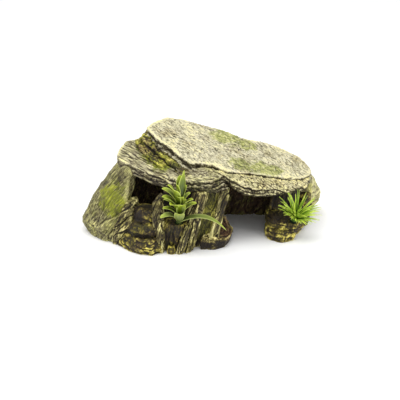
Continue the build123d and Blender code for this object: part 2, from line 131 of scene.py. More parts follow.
def remeshed_copy(node, voxel, rounding):
    """A new object with the CAD node's shape in even small faces, its edges worn round."""
    piece = bpy.data.objects.new("stone_" + node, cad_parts[node].data.copy())
    bpy.context.scene.collection.objects.link(piece)
    piece.data.materials.clear()
    remesh = piece.modifiers.new("even", "REMESH")
    remesh.mode = "VOXEL"
    remesh.voxel_size = voxel
    wear = piece.modifiers.new("wear", "SMOOTH")
    wear.factor = 0.5
    wear.iterations = rounding
    evaluated = piece.evaluated_get(bpy.context.evaluated_depsgraph_get())
    even = bpy.data.meshes.new_from_object(evaluated)
    piece.modifiers.clear()
    piece.data = even
    even.name = piece.name
    return piece


def read_vectors(items, label):
    """The three numbers called label of each of a mesh's items."""
    values = np.empty(len(items) * 3)
    items.foreach_get(label, values)
    return values.reshape(-1, 3)


def neighbour_mean(values, edges, counts):
    """The mean of each vertex's neighbours."""
    total = np.empty_like(values)
    for axis in range(values.shape[1]):
        column = values[:, axis]
        total[:, axis] = np.bincount(edges[:, 0], column[edges[:, 1]], len(values))
        total[:, axis] += np.bincount(edges[:, 1], column[edges[:, 0]], len(values))
    return total / counts[:, None]


def across(points, axes, sizes):
    """Points in a stretched frame: each axis's coordinate divided by that axis's feature size."""
    return np.stack([points @ np.array(axis) / size for axis, size in zip(axes, sizes)], axis=1)


def save_mask(mesh, name, values):
    attribute = mesh.attributes.new(name, "FLOAT", "POINT")
    attribute.data.foreach_set("value", np.clip(values, 0, 1).astype(np.float32))


def patches(points, moss_spots):
    """1 inside soft round patches, each given as (centre, radius)."""
    covered = np.zeros(len(points))
    edge = rough(points / (6 * MM), 3) * 0.35
    for centre, radius in moss_spots:
        away = np.linalg.norm(points - np.array(centre), axis=1) / radius
        covered = np.maximum(covered, np.clip(1.6 - 1.3 * (away + edge), 0, 1))
    return np.clip(1.3 * covered, 0, 1)


# After so many turns of smoothing, a crest that counts as proud stands this far out of the smooth shape.
CREST_SIZES = {3: 0.15 * MM, 12: 0.28 * MM, 35: 0.65 * MM}
# The "proud" mask's value on a plain surface, and its rise for each standard deviation.
PROUD_MIDDLE = 0.5
PROUD_STEP = 0.2


def carve(node, relief, moss_spots, moss_all, voxel, rounding, shade, lit=(0.0, 0.0, 1.0)):
    """A stone: remeshed, displaced along its normals by relief(points, normals) and masked for the paint.

    Painted shade: surfaces that face away from lit are darker by up to shade, lighter if shade is negative.
    """
    piece = remeshed_copy(node, voxel, rounding)
    mesh = piece.data
    points = read_vectors(mesh.vertices, "co")
    edges = np.empty(len(mesh.edges) * 2, np.int64)
    mesh.edges.foreach_get("vertices", edges)
    edges = edges.reshape(-1, 2)
    counts = np.maximum(np.bincount(edges.ravel(), minlength=len(points)), 1)
    normals = read_vectors(mesh.vertex_normals, "vector")
    height = relief(points, normals)
    height += SWELL - height.mean()
    points = points + normals * height[:, None]
    points[:, 2] = np.maximum(points[:, 2], GROUND_GAP)
    mesh.vertices.foreach_set("co", points.ravel())
    mesh.update()
    normals = read_vectors(mesh.vertex_normals, "vector")
    smooth = points
    proud = np.zeros(len(points))
    # Dry-brushing catches the crests of one place and misses those of another.
    worn = np.clip(0.75 + 0.8 * rough(points / (10 * MM), 3), 0.1, 1.3)
    for turn in range(max(CREST_SIZES) + 1):
        smooth = neighbour_mean(smooth, edges, counts)
        if turn in CREST_SIZES:
            stand = np.einsum("ij,ij->i", points - smooth, normals) / CREST_SIZES[turn]
            stand = np.clip(stand, -1.5, 1.2)
            proud += np.where(stand > 0, worn, 1) * stand
    proud = np.clip((proud - np.median(proud)) / np.std(proud), -2, 2)
    # Painted shade on the faces that turn away from lit, carried in the proud mask.
    facing = np.clip(normals @ np.array(lit) * 1.3, 0, 1)
    save_mask(mesh, "proud", PROUD_MIDDLE + PROUD_STEP * proud - shade * (1 - facing))
    moss = patches(points, moss_spots)
    moss = np.maximum(moss, moss_all * np.clip(0.5 + rough(points / (9 * MM), 3), 0, 1))
    save_mask(mesh, "moss", moss)
    mesh.shade_smooth()
    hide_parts(node)
    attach(piece, "rockwork")
    return piece


# ---------------------------------------------------------------- stone surfaces

# A relief gives heights in metres for points and their normals. Beside each feature stands its size in MM,
# its factor in the height is its depth in millimetres, and the seed shifts the noise.
ROOF_NORMAL = np.array((0.286, -0.164, 1.0))
ROOF_NORMAL /= np.linalg.norm(ROOF_NORMAL)
ROOF_GRAIN = np.array((0.80, -0.60, 0.0))
ROOF_GRAIN = ROOF_GRAIN - ROOF_NORMAL * (ROOF_GRAIN @ ROOF_NORMAL)
ROOF_GRAIN /= np.linalg.norm(ROOF_GRAIN)


def strata(points, bedding, thickness, seed):
    """Broken ledges along the bedding: each layer stands proud or back by its own amount."""
    level = points @ bedding / thickness
    level = level + 0.8 * rough(points / (20 * MM) + seed, 2) + 0.3 * noise(points / (4 * MM) + seed)
    step = level - np.floor(level)
    layer = CELL_SPOTS[(np.floor(level).astype(np.int64) + LAYER_SHIFT + seed) % TABLE, 0]
    reach = noise(points / (8 * MM) + 3.7 * np.floor(level)[:, None] + seed)
    groove = np.clip(np.minimum(step, 1 - step) * 4, 0, 1)
    return (layer - 0.5) * 0.9 + 0.5 * reach + (groove - 1) * np.clip(0.6 + reach, 0, 1.2)


def warped(points, size, amount, seed):
    """Points pushed about by slow noise, so that straight features wander."""
    push = np.stack([rough(points / size + axis + seed, 2) for axis in (0.0, 5.2, 9.7)], axis=1)
    return points + amount * push


def slab_relief(
    bedding, grain, seed, swell=0.6, edge_depth=0.9, grain_depth=0.3, layer=3.4, undercut=0.0, stroke=6.0
):
    """Worn split stone: short carved strokes on its faces and layered ledges round its edge."""
    grain = np.array(grain) / np.linalg.norm(grain)
    bedding = np.array(bedding) / np.linalg.norm(bedding)
    axes = (grain, np.cross(bedding, grain), bedding)

    def relief(points, normals):
        face = np.clip((np.abs(normals @ bedding) - 0.55) * 3, 0, 1)
        bend = warped(points, 7 * MM, 1.3 * MM, seed)
        strokes = seams(across(bend, axes, (stroke * MM, 2.2 * MM, 4 * MM)) + seed, 0.35)
        scratches = cracks(across(bend, axes, (4 * stroke * MM, 5 * MM, 8 * MM)) + seed, 0.07)
        lumps = rough(points / (17 * MM) + seed, 3)
        grit = noise(points / (1.2 * MM) + seed)
        ledge = strata(points, bedding, layer * MM, seed)
        carved = grain_depth * (1.1 * strokes + 1.3 * scratches) * (0.5 + 0.5 * face)
        height = swell * lumps - carved + 0.1 * grit
        level = points @ bedding
        depth = (level.max() - level) / np.ptp(level) + 0.14 * rough(points / (11 * MM) + seed, 2)
        recess = np.clip(1.25 - np.abs(depth - 0.56) / 0.24, 0, 1)
        height += (edge_depth * ledge - undercut * recess) * (1 - face)
        return height * MM

    return relief


def dish_relief(centre, half_x, half_y, seed):
    """A worn stone with a hollow, ringed top inside a rounded rim, half_x and half_y from its centre."""

    def relief(points, normals):
        away = np.hypot((points[:, 0] - centre[0]) / half_x, (points[:, 1] - centre[1]) / half_y)
        away += 0.06 * rough(points / (7 * MM) + seed, 2)
        top = np.clip((normals[:, 2] - 0.35) * 3, 0, 1)
        hollow = np.clip((1.0 - away) * 3.0, 0, 1)
        rings = np.sin(away * 24) * hollow
        rim = np.exp(-(((away - 1.02) / 0.13) ** 2))
        chips = cracks(points / (6 * MM) + seed, 0.10) + 0.6 * seams(points / (2.6 * MM) + seed, 0.35)
        height = 0.5 * rough(points / (10 * MM) + seed, 3) - 0.35 * chips
        height -= top * (1.9 * hollow - 0.22 * rings - 0.9 * rim)
        return height * MM

    return relief


def axes_along(along):
    """Three perpendicular axes, the first of them along the given direction."""
    along = np.array(along) / np.linalg.norm(along)
    side = np.cross(along, (0.0, 1.0, 0.1))
    side /= np.linalg.norm(side)
    return along, side, np.cross(along, side)


def bark_relief(along, seed, groove_depth=0.9, swell=0.7, groove=3.2):
    """Upright split stone: crests and deep cracks that run along one direction, smooth in places."""
    axes = axes_along(along)

    def relief(points, normals):
        bend = warped(points, 12 * MM, 0.9 * MM, seed)
        calm = np.clip(0.65 + 0.9 * rough(points / (13 * MM) + seed + 3, 2), 0.15, 1.2)
        crests = ridged(across(bend, axes, (22 * MM, groove * 1.5 * MM, groove * 1.5 * MM)) + seed, 2)
        splits = cracks(across(bend, axes, (34 * MM, groove * 1.7 * MM, groove * 1.7 * MM)) + seed + 8, 0.16)
        fibres = seams(across(bend, axes, (14 * MM, 1.6 * MM, 1.6 * MM)) + seed, 0.4)
        chips = cracks(across(bend, axes, (8 * MM, 9 * MM, 9 * MM)) + seed + 4, 0.07)
        lumps = rough(points / (12 * MM) + seed, 3)
        height = swell * lumps + groove_depth * calm * (crests * 1.6 - 1.1)
        height -= 1.3 * groove_depth * splits + 0.35 * calm * fibres + 0.4 * chips * calm
        return height * MM

    return relief


def boulder_relief(along, seed):
    """A big worn stone: broad facets, a few diagonal splits low down and fine scratches."""
    axes = axes_along(along)

    def relief(points, normals):
        bend = warped(points, 14 * MM, 1.2 * MM, seed)
        low = np.clip(1.15 - points[:, 2] / (32 * MM), 0.2, 1)
        facets = ridged(across(points, axes, (30 * MM, 14 * MM, 14 * MM)) + seed, 2)
        splits = cracks(across(bend, axes, (40 * MM, 9 * MM, 9 * MM)) + seed + 8, 0.14)
        grooves = ridged(across(bend, axes, (36 * MM, 4.2 * MM, 4.2 * MM)) + seed, 2)
        scratches = seams(across(bend, axes, (13 * MM, 1.8 * MM, 1.8 * MM)) + seed, 0.35)
        lumps = rough(points / (15 * MM) + seed, 3)
        height = 1.0 * lumps + 1.4 * facets + low * (0.9 * grooves - 1.3 * splits) - 0.28 * scratches
        return height * MM

    return relief


def lump_relief(seed, swell=1.1, layer=4.0, depth=0.8):
    """Rough stone: rounded lumps, a few uneven ledges and small pits."""

    def relief(points, normals):
        bend = warped(points, 8 * MM, 2.2 * MM, seed)
        lumps = rough(points / (8 * MM) + seed, 3)
        hollow, _ = spots(bend / (7.5 * MM) + seed)
        knobs = 0.5 - np.clip(hollow, 0, 1)
        ledge = strata(points, np.array((0.05, -0.1, 1.0)), layer * MM, seed)
        pocks = np.clip(0.32 - spots(points / (5.5 * MM) + seed)[0], 0, 1)
        grain = seams(bend / (2.4 * MM) + seed, 0.4)
        upright = np.clip(1.2 - np.abs(normals[:, 2]), 0, 1)
        height = swell * (0.6 * lumps + 1.3 * knobs) + depth * 0.8 * ledge * upright
        height -= depth * (0.16 * grain + 1.6 * pocks)
        return height * MM

    return relief


# ---------------------------------------------------------------- paint


def node_of(tree, kind, **settings):
    made = tree.nodes.new(kind)
    for name, value in settings.items():
        setattr(made, name, value)
    return made


def ramp(tree, factor, stops):
    made = node_of(tree, "ShaderNodeValToRGB")
    elements = made.color_ramp.elements
    while len(elements) < len(stops):
        elements.new(0.5)
    for element, (place, colour) in zip(elements, stops):
        element.position = place
        element.color = (*colour, 1)
    tree.links.new(factor, made.inputs["Fac"])
    return made.outputs["Color"]


def math_node(tree, operation, first, second, clamp=False):
    made = node_of(tree, "ShaderNodeMath", operation=operation, use_clamp=clamp)
    for socket, value in zip(made.inputs, (first, second)):
        if isinstance(value, (int, float)):
            socket.default_value = value
        else:
            tree.links.new(value, socket)
    return made.outputs[0]


def mix_colour(tree, factor, first, second, blend="MIX"):
    made = node_of(tree, "ShaderNodeMix", data_type="RGBA", blend_type=blend)
    for socket, value in zip((made.inputs[0], made.inputs[6], made.inputs[7]), (factor, first, second)):
        if isinstance(value, (int, float)):
            socket.default_value = value
        elif isinstance(value, tuple):
            socket.default_value = (*value, 1)
        else:
            tree.links.new(value, socket)
    return made.outputs[2]


def spread(tree, value, low, high, bottom=0.0, top=1.0):
    """Stretch low..high over bottom..top."""
    made = node_of(tree, "ShaderNodeMapRange")
    for socket, number in zip(("From Min", "From Max", "To Min", "To Max"), (low, high, bottom, top)):
        made.inputs[socket].default_value = number
    tree.links.new(value, made.inputs["Value"])
    return made.outputs["Result"]


def cell_seams(tree, place, scale, width):
    """0 along the borders between random cells, rising to 1 inside them."""
    made = node_of(tree, "ShaderNodeTexVoronoi", feature="DISTANCE_TO_EDGE")
    made.inputs["Scale"].default_value = scale
    tree.links.new(place, made.inputs["Vector"])
    return spread(tree, made.outputs["Distance"], 0.0, width)


def noise_texture(tree, place, scale, detail, roughness):
    made = node_of(tree, "ShaderNodeTexNoise")
    made.inputs["Scale"].default_value = scale
    made.inputs["Detail"].default_value = detail
    made.inputs["Roughness"].default_value = roughness
    tree.links.new(place, made.inputs["Vector"])
    return made.outputs["Fac"]


def new_material(name):
    material = bpy.data.materials.new(name)
    material.use_nodes = True
    tree = material.node_tree
    shader = tree.nodes["Principled BSDF"]
    place = node_of(tree, "ShaderNodeTexCoord").outputs["Object"]
    return material, tree, shader, place


def stretched(tree, place, direction, stretch):
    """Coordinates turned so that features run along a direction and stretched along it."""
    turn = Vector(direction).to_track_quat("X", "Z").to_euler()
    first = node_of(tree, "ShaderNodeMapping", vector_type="TEXTURE")
    first.inputs["Rotation"].default_value = turn
    first.inputs["Scale"].default_value = (stretch, 1, 1)
    tree.links.new(place, first.inputs["Vector"])
    return first.outputs["Vector"]


def mask(tree, name):
    """A number that each point of the mesh carries, by its name."""
    return node_of(tree, "ShaderNodeAttribute", attribute_name=name).outputs["Fac"]


def bumped(tree, shader, height, strength, distance):
    """Fine roughness that only the light sees."""
    bump = node_of(tree, "ShaderNodeBump")
    bump.inputs["Strength"].default_value = strength
    bump.inputs["Distance"].default_value = distance
    tree.links.new(height, bump.inputs["Height"])
    tree.links.new(bump.outputs["Normal"], shader.inputs["Normal"])


# Texture scales, in features per metre.
DRIFT_SCALE = 260
GRAIN_SCALE = 620
STROKE_SCALE = 560
SPECKLE_SCALE = 1100
CLOUD_SCALE = 55
SCATTER_SCALE = 330
FINE_SCALE = 900
# Relief and texture together weigh this much. Taking the mean of each part off again leaves an unwashed
# surface at the middle tone.
TONE_WEIGHT = 1.16
TEXTURE_MEAN = 0.54
MIDDLE_TONE = 0.45
# A leaf's colour wanders along it by this much.
MOTTLE = 0.35


def resin_paint(
    name, tones, moss_tones, grain=(1, 0, 0), wash=0.0, contrast=1.0, stroke=2.6, relief=0.60, wander=2.4
):
    """Dry-brushed resin: dark wash in the hollows, lighter paint on what stands proud, painted shade and
    moss.

    Strokes run along grain, are stroke times as long as wide and wander by wander millimetres. Relief is the
    share of the tone that comes from the carving, and wash darkens it all.
    """
    material, tree, shader, place = new_material(name)
    # The proud mask also carries painted shade on the faces that turn away from the light.
    proud = mask(tree, "proud")
    moss = mask(tree, "moss")
    drift = noise_texture(tree, place, DRIFT_SCALE, detail=2, roughness=0.5).node
    bent = node_of(tree, "ShaderNodeVectorMath", operation="MULTIPLY_ADD")
    tree.links.new(drift.outputs["Color"], bent.inputs[0])
    bent.inputs[1].default_value = (wander * MM, wander * MM, wander * MM)
    tree.links.new(place, bent.inputs[2])
    along = stretched(tree, bent.outputs["Vector"], grain, stroke)
    grains = cell_seams(tree, along, GRAIN_SCALE, width=0.22)
    strokes = noise_texture(tree, along, STROKE_SCALE, detail=3, roughness=0.6)
    strokes = spread(tree, strokes, 0.36, 0.64)
    speckle = noise_texture(tree, place, SPECKLE_SCALE, detail=2, roughness=0.7)
    speckle = spread(tree, speckle, 0.34, 0.66)
    cloud = noise_texture(tree, place, CLOUD_SCALE, detail=4, roughness=0.6)
    texture = (TONE_WEIGHT - relief) * contrast
    tone = math_node(tree, "MULTIPLY_ADD", proud, relief * contrast)
    offset = MIDDLE_TONE - PROUD_MIDDLE * relief * contrast - TEXTURE_MEAN * texture - wash
    tone.node.inputs[2].default_value = offset
    for layer, weight in ((grains, 0.36), (strokes, 0.39), (speckle, 0.25)):
        tone = math_node(tree, "ADD", tone, math_node(tree, "MULTIPLY", layer, weight * texture))
    drifting = spread(tree, cloud, 0.3, 0.7, bottom=-0.10, top=0.10)
    tone = math_node(tree, "ADD", tone, drifting, clamp=True)
    paint = ramp(tree, tone, tones)
    paint = mix_colour(tree, 1.0, paint, ramp(tree, cloud, CLOUD_TINTS), "MULTIPLY")
    green = ramp(tree, tone, moss_tones)
    scatter = noise_texture(tree, place, SCATTER_SCALE, detail=3, roughness=0.6)
    scatter = spread(tree, scatter, 0.36, 0.56, bottom=0.45, top=1.35)
    paint = mix_colour(tree, math_node(tree, "MULTIPLY", moss, scatter, clamp=True), paint, green)
    tree.links.new(paint, shader.inputs["Base Color"])
    tree.links.new(spread(tree, strokes, 0.0, 1.0, bottom=0.48, top=0.80), shader.inputs["Roughness"])
    shader.inputs["Specular IOR Level"].default_value = 0.35
    height = math_node(tree, "ADD", grains, math_node(tree, "MULTIPLY", speckle, 0.5))
    bumped(tree, shader, height, strength=0.6, distance=0.4 * MM)
    return material


# Every ramp below lists tones with their colours, from the deepest crevice to the highest crest.
DEEP = (0.010, 0.006, 0.003)
CLOUD_TINTS = [(0.32, (0.84, 0.78, 0.62)), (0.50, (1.0, 1.0, 1.0)), (0.70, (1.06, 1.04, 0.90))]
MOSS_TONES = [
    (0.05, (0.020, 0.022, 0.002)), (0.35, (0.105, 0.120, 0.008)),
    (0.62, (0.270, 0.290, 0.022)), (0.92, (0.620, 0.590, 0.090)),
]
roof_paint = resin_paint(
    "resin_roof",
    [
        (0.02, (0.022, 0.015, 0.007)), (0.16, (0.085, 0.066, 0.032)), (0.34, (0.300, 0.270, 0.165)),
        (0.54, (0.600, 0.565, 0.400)), (0.72, (0.730, 0.680, 0.460)), (0.92, (0.900, 0.800, 0.420)),
    ],
    [
        (0.05, (0.040, 0.042, 0.008)), (0.32, (0.180, 0.190, 0.050)),
        (0.60, (0.390, 0.400, 0.130)), (0.9, (0.66, 0.64, 0.26)),
    ],
    grain=ROOF_GRAIN, wash=-0.08, contrast=1.4, stroke=3.0,
)
# Painted shade: a darker copy of the roof's paint for the lobe that droops forward, with deeper crevices
# too.
shaded_lobe_paint = resin_paint(
    "resin_lobe_shaded",
    [
        (0.04, (0.020, 0.013, 0.006)), (0.22, (0.072, 0.053, 0.022)), (0.40, (0.270, 0.236, 0.125)),
        (0.58, (0.560, 0.515, 0.310)), (0.74, (0.730, 0.665, 0.390)), (0.92, (0.910, 0.810, 0.370)),
    ],
    MOSS_TONES, grain=ROOF_GRAIN, wash=-0.13, contrast=1.5, stroke=3.0, relief=0.70,
)
LEDGE_GRAIN = (0.75, -0.62, -0.15)
ledge_paint = resin_paint(
    "resin_ledge",
    [
        (0.04, DEEP), (0.24, (0.072, 0.054, 0.025)), (0.44, (0.262, 0.232, 0.138)),
        (0.64, (0.530, 0.490, 0.310)), (0.88, (0.850, 0.780, 0.400)),
    ],
    MOSS_TONES, grain=LEDGE_GRAIN, wash=-0.05, contrast=1.3, stroke=6.0, relief=0.72, wander=0.8,
)
packing_paint = resin_paint(
    "resin_packing",
    [
        (0.16, DEEP), (0.38, (0.034, 0.021, 0.008)), (0.55, (0.110, 0.078, 0.026)),
        (0.72, (0.340, 0.280, 0.090)), (0.92, (0.840, 0.760, 0.260)),
    ],
    [
        (0.12, (0.012, 0.012, 0.002)), (0.38, (0.066, 0.066, 0.007)),
        (0.58, (0.220, 0.220, 0.022)), (0.88, (0.800, 0.740, 0.140)),
    ],
    grain=ROOF_GRAIN, wash=0.02, contrast=1.35, relief=0.80,
)
BOULDER_GRAIN = (0.64, 0.1, 0.76)
boulder_paint = resin_paint(
    "resin_boulder",
    [
        (0.06, (0.014, 0.010, 0.004)), (0.28, (0.085, 0.069, 0.028)), (0.48, (0.215, 0.195, 0.090)),
        (0.68, (0.390, 0.365, 0.165)), (0.92, (0.720, 0.670, 0.270)),
    ],
    [
        (0.05, (0.075, 0.080, 0.007)), (0.35, (0.165, 0.180, 0.012)),
        (0.62, (0.265, 0.285, 0.020)), (0.92, (0.440, 0.440, 0.045)),
    ],
    grain=BOULDER_GRAIN, wash=0.02, contrast=1.25, stroke=6.0, wander=1.0,
)
pale_boulder_paint = resin_paint(
    "resin_boulder_pale",
    [
        (0.04, (0.020, 0.015, 0.007)), (0.24, (0.120, 0.100, 0.050)), (0.44, (0.330, 0.300, 0.165)),
        (0.66, (0.560, 0.520, 0.280)), (0.92, (0.800, 0.740, 0.380)),
    ],
    MOSS_TONES, grain=(0.1, 0.1, 1), wash=-0.09, contrast=1.45, relief=0.7,
)
dark_paint = resin_paint(
    "resin_dark",
    [
        (0.14, DEEP), (0.38, (0.030, 0.018, 0.006)), (0.56, (0.086, 0.060, 0.016)),
        (0.72, (0.250, 0.200, 0.045)), (0.92, (0.820, 0.720, 0.180)),
    ],
    [
        (0.1, (0.016, 0.014, 0.002)), (0.36, (0.066, 0.056, 0.006)),
        (0.58, (0.230, 0.198, 0.020)), (0.88, (0.780, 0.660, 0.120)),
    ],
    grain=(0.1, 0, 1), wash=0.10, contrast=1.25, relief=0.82,
)
bark_paint = resin_paint(
    "resin_bark",
    [
        (0.10, DEEP), (0.32, (0.038, 0.027, 0.009)), (0.50, (0.135, 0.112, 0.042)),
        (0.68, (0.410, 0.370, 0.150)), (0.90, (0.860, 0.790, 0.360)),
    ],
    [
        (0.05, (0.026, 0.024, 0.004)), (0.35, (0.105, 0.100, 0.012)),
        (0.62, (0.260, 0.240, 0.034)), (0.92, (0.600, 0.545, 0.110)),
    ],
    grain=(0.36, 0.05, 1), wash=0.02, contrast=1.45, stroke=8.0, relief=0.75, wander=0.8,
)
dish_paint = resin_paint(
    "resin_dish",
    [
        (0.10, DEEP), (0.32, (0.032, 0.022, 0.008)), (0.50, (0.110, 0.086, 0.028)),
        (0.66, (0.370, 0.310, 0.100)), (0.86, (0.880, 0.770, 0.340)),
    ],
    [
        (0.06, (0.012, 0.006, 0.003)), (0.30, (0.045, 0.020, 0.010)),
        (0.55, (0.125, 0.062, 0.028)), (0.85, (0.460, 0.330, 0.150)),
    ],
    grain=(0.6, 0.8, 0.2), wash=-0.04, contrast=1.35, relief=0.75,
)
wall_paint = resin_paint(
    "resin_wall",
    [
        (0.04, (0.040, 0.018, 0.010)), (0.28, (0.095, 0.052, 0.025)), (0.48, (0.140, 0.108, 0.048)),
        (0.66, (0.270, 0.240, 0.110)), (0.92, (0.620, 0.570, 0.250)),
    ],
    MOSS_TONES, grain=(0.4, 0, 1), wash=0.02, contrast=1.3, relief=0.7,
)

# ---------------------------------------------------------------- stones

# Moss patches: a centre and a radius each.
ROOF_MOSS = [
    ((0.018, 0.034, 0.068), 0.013), ((0.034, 0.030, 0.062), 0.009), ((0.030, -0.004, 0.058), 0.010),
    ((0.046, -0.002, 0.054), 0.010), ((0.056, 0.000, 0.051), 0.007),
]
LEDGE_MOSS = [
    ((-0.040, 0.000, 0.063), 0.009), ((-0.032, -0.012, 0.060), 0.008), ((-0.046, 0.012, 0.066), 0.007),
]
BOULDER_MOSS = [
    ((-0.074, -0.020, 0.036), 0.013), ((-0.068, -0.022, 0.030), 0.011), ((-0.082, -0.012, 0.040), 0.007),
]
COLUMN_MOSS = [((0.005, -0.028, 0.034), 0.011), ((0.002, -0.032, 0.014), 0.011)]
WALL_MOSS = [
    ((-0.052, 0.046, 0.030), 0.013), ((0.006, 0.049, 0.022), 0.011), ((0.048, 0.047, 0.026), 0.010),
]
# The dish stone's hollow is stained reddish brown instead.
DISH_CENTRE = (0.0125, -0.024)
DISH_HALF_X = 0.0105
DISH_HALF_Y = 0.0135
DISH_STAIN = [((0.0135, -0.0255, 0.010), 0.0095), ((0.0140, -0.0165, 0.013), 0.0075)]

# Directions: the columns' lean, the upright stones' grain, and the back of the ornament.
LEAN = (0.38, 0.10, 1)
UPRIGHT = (0.1, 0.0, 1)
BEHIND = (0.0, 1.0, 0.0)


def stone(node, relief, paint, voxel, rounding, shade=0.0, moss_all=0.0, moss=(), lit=(0.0, 0.0, 1.0)):
    """A carved and painted stone.

    Voxel is the remesh's cell in millimetres, rounding is the turns of wear before the carving, and moss_all
    is the moss outside the patches. Shade and lit give the painted shade, as in carve.
    """
    piece = carve(node, relief, moss, moss_all, voxel * MM, rounding, shade, lit)
    piece.data.materials.append(paint)


stone(
    "roof_slab_upper", slab_relief(ROOF_NORMAL, ROOF_GRAIN, 3, undercut=2.0),
    roof_paint, 0.55, 8, shade=0.75, moss_all=0.12, moss=ROOF_MOSS,
)
stone(
    "roof_slab_lower",
    slab_relief(ROOF_NORMAL, ROOF_GRAIN, 9, swell=1.0, edge_depth=1.8, grain_depth=0.9, layer=2.4),
    shaded_lobe_paint, 0.5, 8, shade=0.6, moss_all=0.2,
)
stone(
    "ledge_slab", bark_relief(LEDGE_GRAIN, 5, groove_depth=0.55, swell=0.5, groove=2.4),
    ledge_paint, 0.45, 8, shade=0.3, moss_all=0.15, moss=LEDGE_MOSS,
)
for node, seed, moss_all in (("packing_stone_upper", 14, 0.9), ("packing_stone_lower", 19, 1.0)):
    relief = slab_relief(
        ROOF_NORMAL, ROOF_GRAIN, seed, swell=2.2, edge_depth=0.9, grain_depth=1.0, layer=5.0, undercut=1.2
    )
    stone(node, relief, packing_paint, 0.6, 10, shade=0.1, moss_all=moss_all)
stone(
    "left_boulder", boulder_relief(BOULDER_GRAIN, 23),
    boulder_paint, 0.6, 14, moss_all=0.2, moss=BOULDER_MOSS,
)
stone(
    "left_buttress", bark_relief((0.72, 0.1, 0.7), 29, groove_depth=1.0),
    bark_paint, 0.5, 14, moss_all=0.25,
)
stone("step_stone_lower", lump_relief(31, depth=1.0), dark_paint, 0.5, 20, shade=-0.1, moss_all=0.6)
stone("step_stone_middle", lump_relief(37, depth=1.0), dark_paint, 0.5, 20, shade=0.1, moss_all=0.7)
stone("step_stone_upper", lump_relief(41, depth=1.0), dark_paint, 0.5, 20, shade=0.1, moss_all=0.4)
stone(
    "blade_stone", bark_relief((0.12, -0.1, 1), 43, groove_depth=0.8, swell=0.5),
    bark_paint, 0.45, 12, moss_all=0.1,
)
stone(
    "socket_stone", bark_relief((0.1, -0.1, 1), 47, groove_depth=0.9),
    dark_paint, 0.5, 14, shade=0.1, moss_all=0.6,
)
stone("backing_stone", bark_relief(UPRIGHT, 49), dark_paint, 0.6, 10, shade=0.25, moss_all=0.2)
stone("rib_stone", bark_relief(LEAN, 51, groove_depth=0.6, swell=0.4), bark_paint, 0.45, 12, moss_all=0.3)
stone("ridge_column", bark_relief(LEAN, 53, groove_depth=1.0), bark_paint, 0.45, 16, moss_all=0.25)
stone(
    "wide_column", bark_relief(LEAN, 59, groove_depth=0.4, groove=5.5),
    bark_paint, 0.45, 20, shade=0.1, moss_all=1.0, moss=COLUMN_MOSS,
)
stone("edge_column", bark_relief(LEAN, 61, groove_depth=0.9), bark_paint, 0.45, 12, moss_all=0.2)
stone("toe_pebble", lump_relief(67, swell=0.3, depth=0.2), dark_paint, 0.35, 12, shade=-0.15, moss_all=0.9)
stone(
    "foot_dish_stone", dish_relief(DISH_CENTRE, DISH_HALF_X, DISH_HALF_Y, 71),
    dish_paint, 0.45, 8, shade=0.3, moss=DISH_STAIN,
)
stone(
    "lintel_lower",
    slab_relief(
        (0.06, 0, 1), (1, 0.1, 0), 73,
        swell=1.1, edge_depth=1.7, grain_depth=1.1, layer=2.9, undercut=0.6, stroke=10.0,
    ),
    ledge_paint, 0.45, 9, shade=0.36, moss_all=0.25,
)
stone(
    "lintel_upper",
    slab_relief(
        (0.1, 0, 1), (1, 0.3, 0), 79,
        swell=1.0, edge_depth=1.8, grain_depth=1.0, layer=2.6, stroke=9.0,
    ),
    ledge_paint, 0.45, 8, shade=0.1, moss_all=0.3,
)
stone("right_foot_lower", lump_relief(83, depth=1.0), dark_paint, 0.5, 16, shade=-0.14, moss_all=0.4)
stone("right_foot_upper", lump_relief(89, depth=1.0), dark_paint, 0.5, 16, shade=-0.06, moss_all=0.6)
stone("right_post", bark_relief(UPRIGHT, 97), dark_paint, 0.6, 10, shade=0.2, moss_all=0.2)
stone("right_side_stone", lump_relief(101), dark_paint, 0.6, 12, moss_all=0.3)
stone(
    "right_boulder", lump_relief(103, swell=1.0, depth=0.8),
    pale_boulder_paint, 0.6, 14, shade=-0.1, moss_all=0.5,
)
# The walls carry painted shade: lighter where they face the back, and darker and browner inside the chamber.
for side, lean, seed in (("right", 0.5, 107), ("centre", -0.35, 109), ("left", 0.45, 113)):
    relief = boulder_relief((lean, 0.1, 1), seed)
    stone(
        "back_wall_" + side, relief,
        wall_paint, 0.7, 16, shade=0.24, moss_all=0.35, moss=WALL_MOSS, lit=BEHIND,
    )

# ---------------------------------------------------------------- plants

# Seats are where the collars rest on the stones, in metres. Heights, pitches and radii are in millimetres.
BROADLEAF_SEAT = Vector((-0.0192, -0.0430, 0.0232))
BROADLEAF_STEM = Vector((0.06, -0.12, 1.0))
GRASS_SEAT = Vector((0.0705, -0.0160, 0.0142))
GRASS_STEM = Vector((0.25, -0.55, 1.0))
COLLAR_HEIGHT = 2.0
LEAF_HUB_HEIGHT = 3.4
LEAF_HUB_PITCH = 4.5
LEAF_HUB_RADIUS = 2.3
GRASS_HUB_HEIGHT = 1.6
GRASS_HUB_PITCH = 1.8
GRASS_HUB_RADIUS = 2.0
LEAF_ROOT = 1.7
LEAF_ROWS = 20
LEAF_COLUMNS = 8
GRASS_ROOT = 1.3
GRASS_ROWS = 10
GRASS_COLUMNS = 2
GRASS_CUP = 0.3
GRASS_HOOK = 0.6
BLADE_THICKNESS = 0.8
# A leaf that reaches or rises further than this has an outline of its own.
LONG_LEAF = 20
LONG_LEAF_ROWS = 28
HUB_SIDES = 20
# A hub's levels and radii, as shares of its height and its radius.
HUB_PROFILE = ((0, 0.92), (0.15, 1), (0.85, 1), (1, 0.88))
# A leaf's hook begins at this share of its length.
HOOK_START = 0.7
# Grass blades in a bunch: the first keeps to the table, and the others stray from it.
BUNCH = 4
# They stray by degrees of bearing, shares of the reach and the rise, and millimetres of arch.
STRAY_TURN = (-13, 13)
STRAY_REACH = (0.0, 0.30)
STRAY_RISE = (-0.02, 0.25)
STRAY_ARCH = (-0.8, 0.8)
# Each blade has a width in millimetres and a lightness of its own.
GRASS_WIDTH = (1.3, 1.9)
GRASS_LIGHT = (0.55, 1.35)

